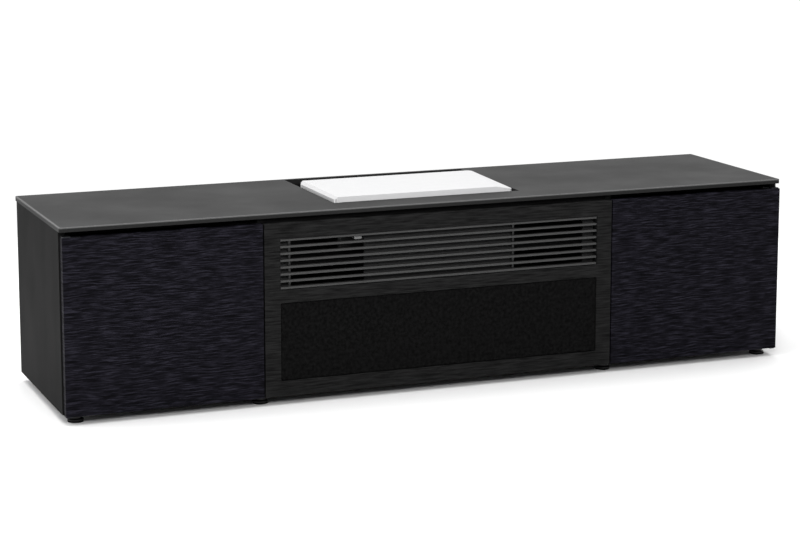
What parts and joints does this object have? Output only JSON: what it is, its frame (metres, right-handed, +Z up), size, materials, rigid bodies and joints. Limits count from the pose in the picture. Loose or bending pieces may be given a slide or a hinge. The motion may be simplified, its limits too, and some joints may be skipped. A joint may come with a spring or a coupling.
{
  "type": "media cabinet",
  "caption": "Low wide media cabinet with hinged side doors, louvred and fabric-fronted centre and a top cut-out that holds a short-throw projector.",
  "frame": {"origin": "on the floor, under the middle of the cabinet's bounding box", "axes": "+Z up, +X to the right of someone facing the front, -Y out of the front"},
  "size_m": [2.21, 0.56, 0.558],
  "materials": {
    "top": "satin charcoal lacquer",
    "carcass": "matte dark grey lacquer",
    "backer": "flat black paint",
    "door": "black-stained veneer, horizontal wavy grain",
    "frame": "matte black lacquer over faint grain",
    "slat": "satin grey",
    "fabric": "black acoustic cloth",
    "steel": "black zinc",
    "plastic": "black",
    "sensor": "smoked grey",
    "shell": "satin white"
  },
  "bodies": {
    "cabinet": {"left_side_panel": "carcass", "right_side_panel": "carcass", "bottom_panel": "carcass", "left_partition": "carcass", "right_partition": "carcass", "left_front_stretcher": "carcass", "right_front_stretcher": "carcass", "center_front_stretcher": "carcass", "left_shelf": "carcass", "right_shelf": "carcass", "left_tray_cleat": "carcass", "right_tray_cleat": "carcass", "top_panel": "top", "left_back_panel": "backer", "center_back_panel": "backer", "right_back_panel": "backer", "louvre_backer": "backer", "projector_tray": "backer", "center_frame": "frame", "louvre_slat_1": "slat", "louvre_slat_2": "slat", "louvre_slat_3": "slat", "louvre_slat_4": "slat", "louvre_slat_5": "slat", "louvre_slat_6": "slat", "louvre_slat_7": "slat", "louvre_slat_8": "slat", "louvre_rib_1": "slat", "louvre_rib_2": "slat", "infrared_sensor": "sensor", "left_lower_hinge_bracket": "steel", "left_upper_hinge_bracket": "steel", "left_door_catch": "plastic", "right_lower_hinge_bracket": "steel", "right_upper_hinge_bracket": "steel", "right_door_catch": "plastic"},
    "left_door_leaf": {"left_door": "door", "left_lower_door_plate": "steel", "left_upper_door_plate": "steel"},
    "right_door_leaf": {"right_door": "door", "right_lower_door_plate": "steel", "right_upper_door_plate": "steel"},
    "grille_panel": {"grille_frame": "backer", "grille_fabric": "fabric"},
    "projector_unit": {"projector_base": "plastic", "projector_cover": "shell"},
    "front_left_leveler_foot": {"front_left_leveler": "plastic"},
    "front_left_center_leveler_foot": {"front_left_center_leveler": "plastic"},
    "front_right_leveler_foot": {"front_right_leveler": "plastic"},
    "front_right_center_leveler_foot": {"front_right_center_leveler": "plastic"},
    "rear_left_leveler_foot": {"rear_left_leveler": "plastic"},
    "rear_left_center_leveler_foot": {"rear_left_center_leveler": "plastic"},
    "rear_right_leveler_foot": {"rear_right_leveler": "plastic"},
    "rear_right_center_leveler_foot": {"rear_right_center_leveler": "plastic"}
  },
  "joints": [
    {"name": "left_door_hinge", "type": "hinge", "parent": "cabinet", "child": "left_door_leaf", "pos_m": [-1.09, -0.268, 0.271], "axis": [0, 0, -1], "range_deg": [0, 110]},
    {"name": "right_door_hinge", "type": "hinge", "parent": "cabinet", "child": "right_door_leaf", "pos_m": [1.09, -0.268, 0.271], "axis": [0, 0, 1], "range_deg": [0, 110]},
    {"name": "grille_pull_off", "type": "slide", "parent": "cabinet", "child": "grille_panel", "axis": [0, -1, 0], "range_m": [0, 0.12]},
    {"name": "projector_lift_out", "type": "slide", "parent": "cabinet", "child": "projector_unit", "axis": [0, 0, 1], "range_m": [0, 0.25]},
    {"name": "front_left_leveler_height", "type": "slide", "parent": "cabinet", "child": "front_left_leveler_foot", "axis": [0, 0, -1], "range_m": [0, 0.015]},
    {"name": "front_left_center_leveler_height", "type": "slide", "parent": "cabinet", "child": "front_left_center_leveler_foot", "axis": [0, 0, -1], "range_m": [0, 0.015]},
    {"name": "front_right_leveler_height", "type": "slide", "parent": "cabinet", "child": "front_right_leveler_foot", "axis": [0, 0, -1], "range_m": [0, 0.015]},
    {"name": "front_right_center_leveler_height", "type": "slide", "parent": "cabinet", "child": "front_right_center_leveler_foot", "axis": [0, 0, -1], "range_m": [0, 0.015]},
    {"name": "rear_left_leveler_height", "type": "slide", "parent": "cabinet", "child": "rear_left_leveler_foot", "axis": [0, 0, -1], "range_m": [0, 0.015]},
    {"name": "rear_left_center_leveler_height", "type": "slide", "parent": "cabinet", "child": "rear_left_center_leveler_foot", "axis": [0, 0, -1], "range_m": [0, 0.015]},
    {"name": "rear_right_leveler_height", "type": "slide", "parent": "cabinet", "child": "rear_right_leveler_foot", "axis": [0, 0, -1], "range_m": [0, 0.015]},
    {"name": "rear_right_center_leveler_height", "type": "slide", "parent": "cabinet", "child": "rear_right_center_leveler_foot", "axis": [0, 0, -1], "range_m": [0, 0.015]}
  ]
}
